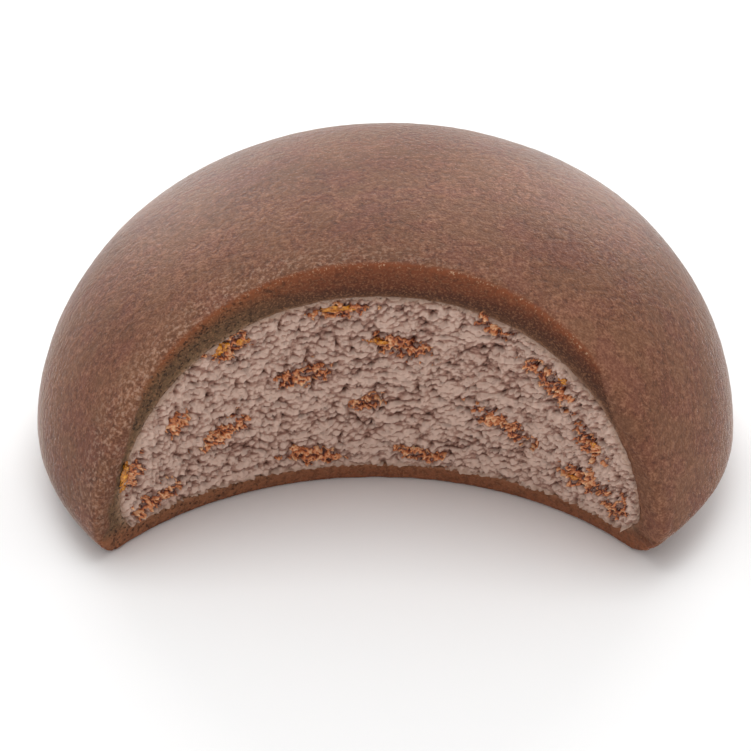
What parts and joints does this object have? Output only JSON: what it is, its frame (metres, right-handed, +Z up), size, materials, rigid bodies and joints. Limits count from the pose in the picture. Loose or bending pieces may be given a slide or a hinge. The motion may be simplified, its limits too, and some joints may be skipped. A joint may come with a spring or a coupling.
{
  "type": "bitten mochi ice cream",
  "caption": "Low dome of cocoa mochi dough round an ice-cream core with caramel crumbs, a large bite taken from its front. It rests on its flat base.",
  "frame": {"origin": "on the flat base, near its middle, 4.7 mm behind the bite's edge", "axes": "+Z up from the base to the crown, the bite faces -Y, +X to the right as the bite is seen"},
  "size_m": [0.0498, 0.0425, 0.0216],
  "materials": {
    "dough": "soft cocoa rice dough, fine-grained and lightly powdered outside, moist where it is bitten",
    "ice_cream": "firm chocolate ice cream, craggy like packed snow where it is bitten",
    "crumbs": "baked caramel biscuit crumbs, orange with dark pits",
    "caramel": "glossy amber caramel slivers"
  },
  "bodies": {
    "root": {"mochi_dough": "dough", "ice_cream": "ice_cream"}
  },
  "joints": []
}
